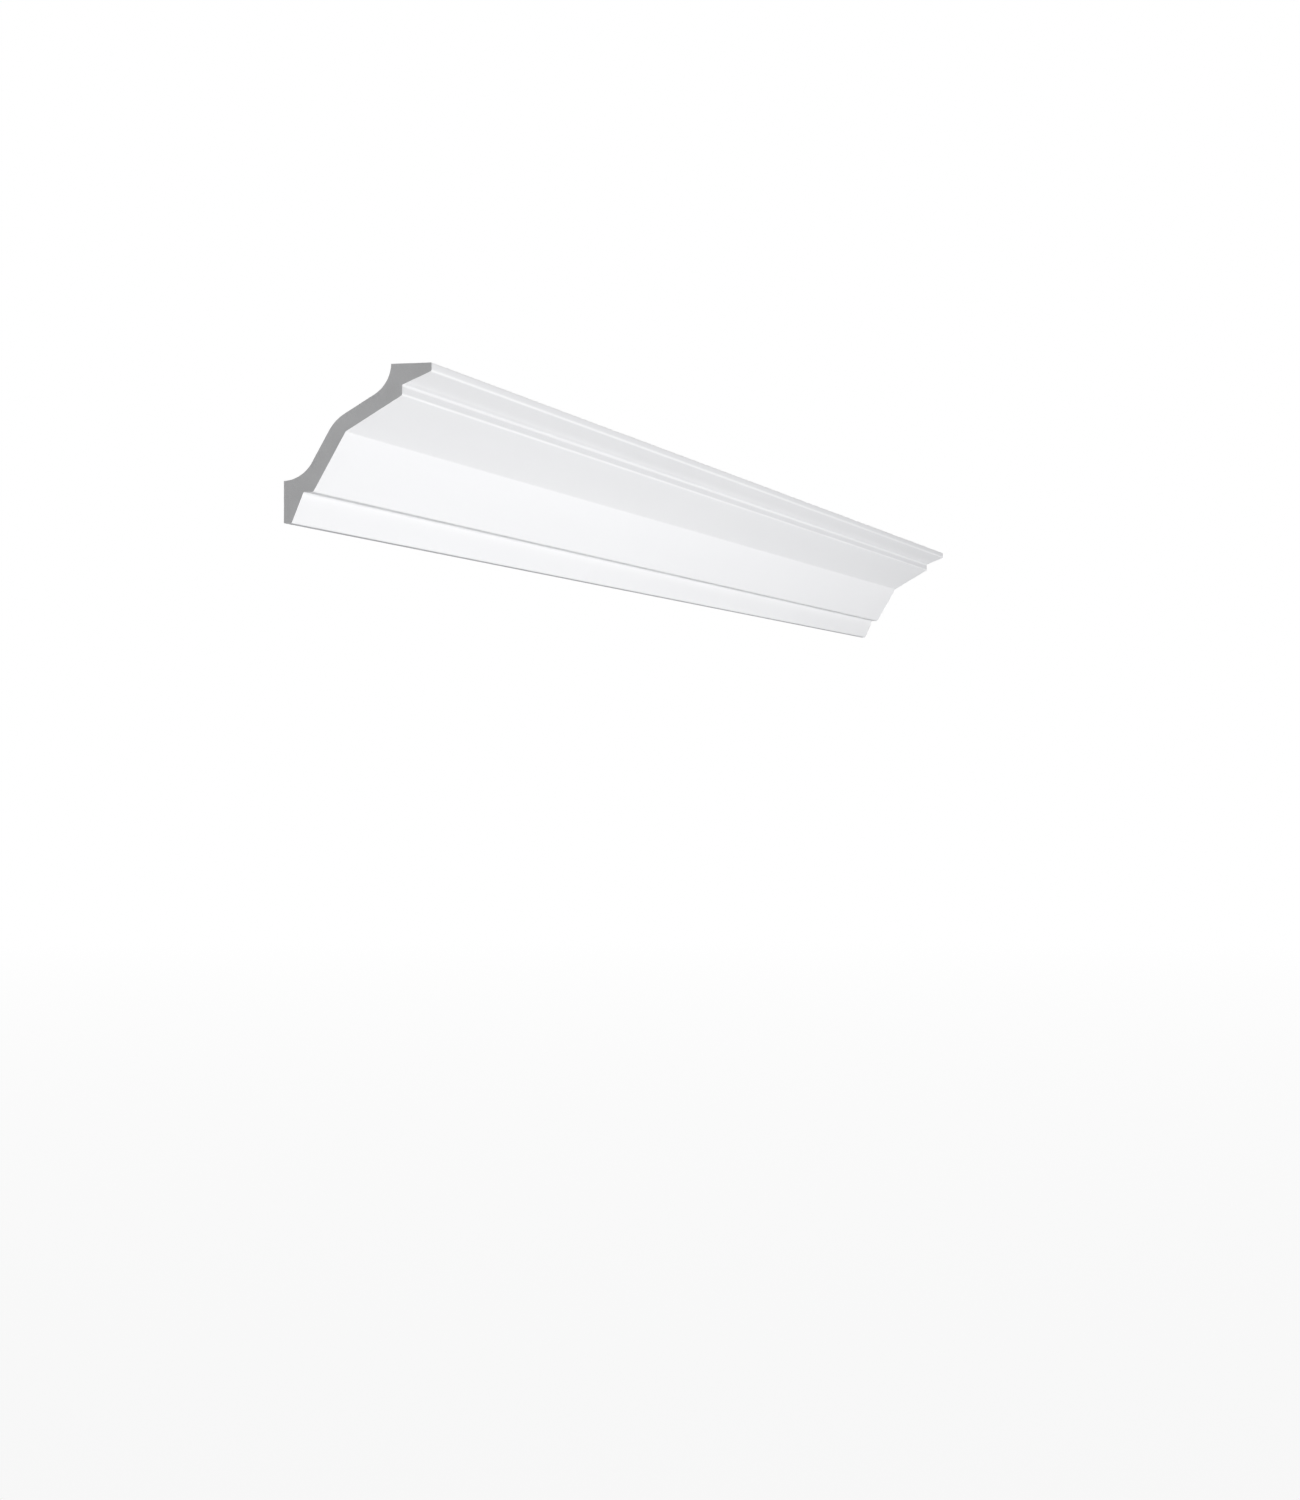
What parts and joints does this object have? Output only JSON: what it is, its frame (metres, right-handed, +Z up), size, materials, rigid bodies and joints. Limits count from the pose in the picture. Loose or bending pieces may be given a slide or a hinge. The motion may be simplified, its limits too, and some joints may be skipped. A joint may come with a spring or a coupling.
{
  "type": "crown moulding length",
  "caption": "Straight length of white crown moulding for the corner of wall and ceiling, with splayed borders, broad facets that meet in a valley, and a thin shell hollow at the back.",
  "frame": {"origin": "middle of the flat bearing that is glued to the wall, half way along the length", "axes": "+X along the moulding, +Y into the wall, +Z up to the ceiling"},
  "size_m": [1.5, 0.08, 0.0801],
  "materials": {
    "primed_foam": "smooth white priming coat over light closed-cell foam, satin matt, ready to paint"
  },
  "bodies": {
    "root": {"crown_moulding": "primed_foam"}
  },
  "joints": []
}
